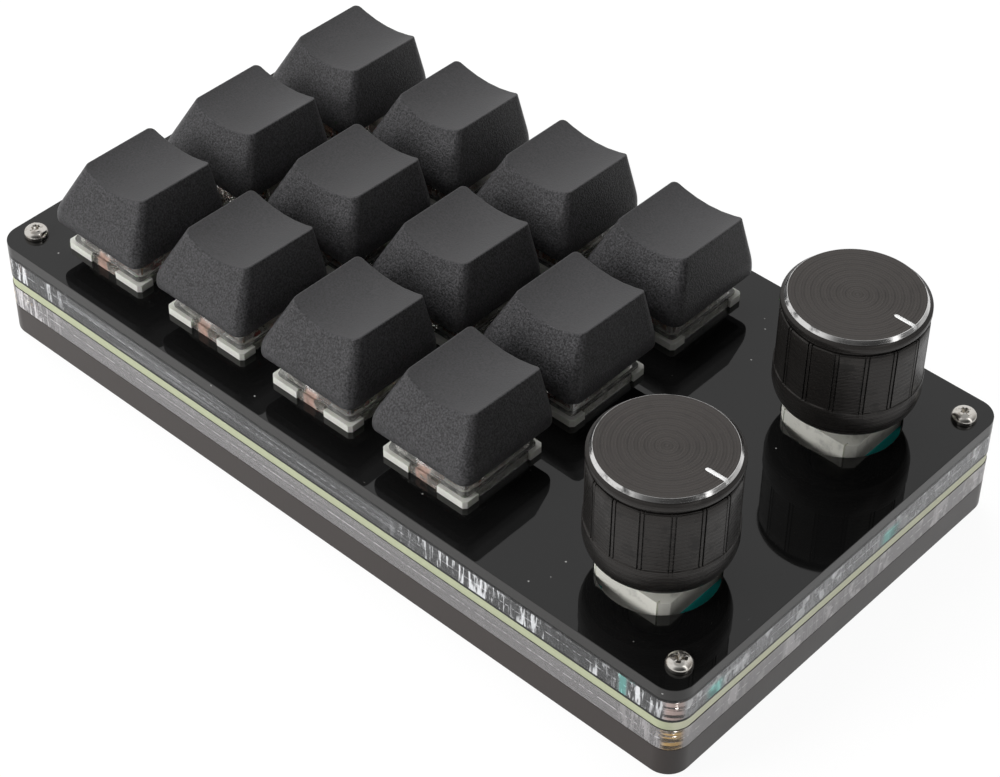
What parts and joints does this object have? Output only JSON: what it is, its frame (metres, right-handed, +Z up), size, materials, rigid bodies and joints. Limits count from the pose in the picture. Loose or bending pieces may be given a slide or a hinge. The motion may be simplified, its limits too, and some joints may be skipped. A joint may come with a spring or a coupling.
{
  "type": "macro keypad with knobs",
  "caption": "Small layered desktop keypad with sculpted mechanical keys in rows and push and turn dials at one end, on clear spacers and rubber feet.",
  "frame": {"origin": "middle of the underside, on the plane that the feet stand on", "axes": "+X along the case towards the dials, +Y from the front to the back, +Z up"},
  "size_m": [0.1304, 0.0704, 0.0397],
  "materials": {
    "keycap_black": "fine matt moulded plastic",
    "stem_red": "satin moulded plastic",
    "spring_steel": "drawn wire",
    "plate_gloss": "polished cast acrylic, black",
    "clear_acrylic": "clear cast acrylic, polished faces and laser cut edges",
    "board_ivory": "glass fibre laminate, pale edge, dark solder mask",
    "base_brown": "satin dark brownish grey",
    "screw_nickel": "nickel plated steel",
    "insert_brass": "turned and knurled brass",
    "foot_rubber": "soft black rubber",
    "housing_clear": "clear moulded plastic",
    "housing_milky": "milky translucent moulded plastic",
    "contact_copper": "bright copper alloy sheet",
    "socket_black": "moulded black plastic",
    "lamp_white": "white lamp body with a clear yellowish lens",
    "chip_black": "matt black moulding compound",
    "port_steel": "drawn stainless shell",
    "bracket_steel": "folded tin plated sheet",
    "encoder_teal": "teal moulded plastic",
    "terminal_tin": "tin plated sheet",
    "rotor_grey": "dark grey moulded plastic",
    "shaft_aluminium": "turned aluminium",
    "knob_black": "black anodised turned aluminium with a bright cut ring"
  },
  "bodies": {
    "root": {"spring_front_1": "spring_steel", "spring_front_2": "spring_steel", "spring_front_3": "spring_steel", "spring_front_4": "spring_steel", "spring_middle_1": "spring_steel", "spring_middle_2": "spring_steel", "spring_middle_3": "spring_steel", "spring_middle_4": "spring_steel", "spring_rear_1": "spring_steel", "spring_rear_2": "spring_steel", "spring_rear_3": "spring_steel", "spring_rear_4": "spring_steel", "top_plate": "plate_gloss", "upper_spacer": "clear_acrylic", "circuit_board": "board_ivory", "lower_spacer": "clear_acrylic", "bottom_plate": "base_brown", "case_screws": "screw_nickel", "case_inserts": "insert_brass", "rubber_feet": "foot_rubber", "switch_top_housings": "housing_clear", "switch_bottom_housings": "housing_milky", "switch_contacts": "contact_copper", "switch_sockets": "socket_black", "key_lights": "lamp_white", "board_chips": "chip_black", "usb_port": "port_steel", "encoder_brackets": "bracket_steel", "encoder_housings": "encoder_teal", "encoder_terminals": "terminal_tin"},
    "key_front_1": {"keycap_front_1": "keycap_black", "stem_front_1": "stem_red"},
    "key_front_2": {"keycap_front_2": "keycap_black", "stem_front_2": "stem_red"},
    "key_front_3": {"keycap_front_3": "keycap_black", "stem_front_3": "stem_red"},
    "key_front_4": {"keycap_front_4": "keycap_black", "stem_front_4": "stem_red"},
    "key_middle_1": {"keycap_middle_1": "keycap_black", "stem_middle_1": "stem_red"},
    "key_middle_2": {"keycap_middle_2": "keycap_black", "stem_middle_2": "stem_red"},
    "key_middle_3": {"keycap_middle_3": "keycap_black", "stem_middle_3": "stem_red"},
    "key_middle_4": {"keycap_middle_4": "keycap_black", "stem_middle_4": "stem_red"},
    "key_rear_1": {"keycap_rear_1": "keycap_black", "stem_rear_1": "stem_red"},
    "key_rear_2": {"keycap_rear_2": "keycap_black", "stem_rear_2": "stem_red"},
    "key_rear_3": {"keycap_rear_3": "keycap_black", "stem_rear_3": "stem_red"},
    "key_rear_4": {"keycap_rear_4": "keycap_black", "stem_rear_4": "stem_red"},
    "rotor_front": {"encoder_rotor_front": "rotor_grey"},
    "dial_front": {"encoder_shaft_front": "shaft_aluminium", "knob_front": "knob_black"},
    "rotor_rear": {"encoder_rotor_rear": "rotor_grey"},
    "dial_rear": {"encoder_shaft_rear": "shaft_aluminium", "knob_rear": "knob_black"}
  },
  "joints": [
    {"name": "press_front_1", "type": "slide", "parent": "root", "child": "key_front_1", "axis": [0, 0, -1], "range_m": [0, 0.004], "stiffness_N_per_m": 50, "springref_m": -0.008, "deforming": ["spring_front_1"]},
    {"name": "press_front_2", "type": "slide", "parent": "root", "child": "key_front_2", "axis": [0, 0, -1], "range_m": [0, 0.004], "stiffness_N_per_m": 50, "springref_m": -0.008, "deforming": ["spring_front_2"]},
    {"name": "press_front_3", "type": "slide", "parent": "root", "child": "key_front_3", "axis": [0, 0, -1], "range_m": [0, 0.004], "stiffness_N_per_m": 50, "springref_m": -0.008, "deforming": ["spring_front_3"]},
    {"name": "press_front_4", "type": "slide", "parent": "root", "child": "key_front_4", "axis": [0, 0, -1], "range_m": [0, 0.004], "stiffness_N_per_m": 50, "springref_m": -0.008, "deforming": ["spring_front_4"]},
    {"name": "press_middle_1", "type": "slide", "parent": "root", "child": "key_middle_1", "axis": [0, 0, -1], "range_m": [0, 0.004], "stiffness_N_per_m": 50, "springref_m": -0.008, "deforming": ["spring_middle_1"]},
    {"name": "press_middle_2", "type": "slide", "parent": "root", "child": "key_middle_2", "axis": [0, 0, -1], "range_m": [0, 0.004], "stiffness_N_per_m": 50, "springref_m": -0.008, "deforming": ["spring_middle_2"]},
    {"name": "press_middle_3", "type": "slide", "parent": "root", "child": "key_middle_3", "axis": [0, 0, -1], "range_m": [0, 0.004], "stiffness_N_per_m": 50, "springref_m": -0.008, "deforming": ["spring_middle_3"]},
    {"name": "press_middle_4", "type": "slide", "parent": "root", "child": "key_middle_4", "axis": [0, 0, -1], "range_m": [0, 0.004], "stiffness_N_per_m": 50, "springref_m": -0.008, "deforming": ["spring_middle_4"]},
    {"name": "press_rear_1", "type": "slide", "parent": "root", "child": "key_rear_1", "axis": [0, 0, -1], "range_m": [0, 0.004], "stiffness_N_per_m": 50, "springref_m": -0.008, "deforming": ["spring_rear_1"]},
    {"name": "press_rear_2", "type": "slide", "parent": "root", "child": "key_rear_2", "axis": [0, 0, -1], "range_m": [0, 0.004], "stiffness_N_per_m": 50, "springref_m": -0.008, "deforming": ["spring_rear_2"]},
    {"name": "press_rear_3", "type": "slide", "parent": "root", "child": "key_rear_3", "axis": [0, 0, -1], "range_m": [0, 0.004], "stiffness_N_per_m": 50, "springref_m": -0.008, "deforming": ["spring_rear_3"]},
    {"name": "press_rear_4", "type": "slide", "parent": "root", "child": "key_rear_4", "axis": [0, 0, -1], "range_m": [0, 0.004], "stiffness_N_per_m": 50, "springref_m": -0.008, "deforming": ["spring_rear_4"]},
    {"name": "turn_front", "type": "hinge", "parent": "root", "child": "rotor_front", "pos_m": [0.04902, -0.0196, 0.0168], "axis": [0, 0, 1], "continuous": true},
    {"name": "push_front", "type": "slide", "parent": "rotor_front", "child": "dial_front", "axis": [0, 0, -1], "range_m": [0, 0.0005], "stiffness_N_per_m": 2000, "springref_m": -0.001},
    {"name": "turn_rear", "type": "hinge", "parent": "root", "child": "rotor_rear", "pos_m": [0.04902, 0.0196, 0.0168], "axis": [0, 0, 1], "continuous": true},
    {"name": "push_rear", "type": "slide", "parent": "rotor_rear", "child": "dial_rear", "axis": [0, 0, -1], "range_m": [0, 0.0005], "stiffness_N_per_m": 2000, "springref_m": -0.001}
  ]
}
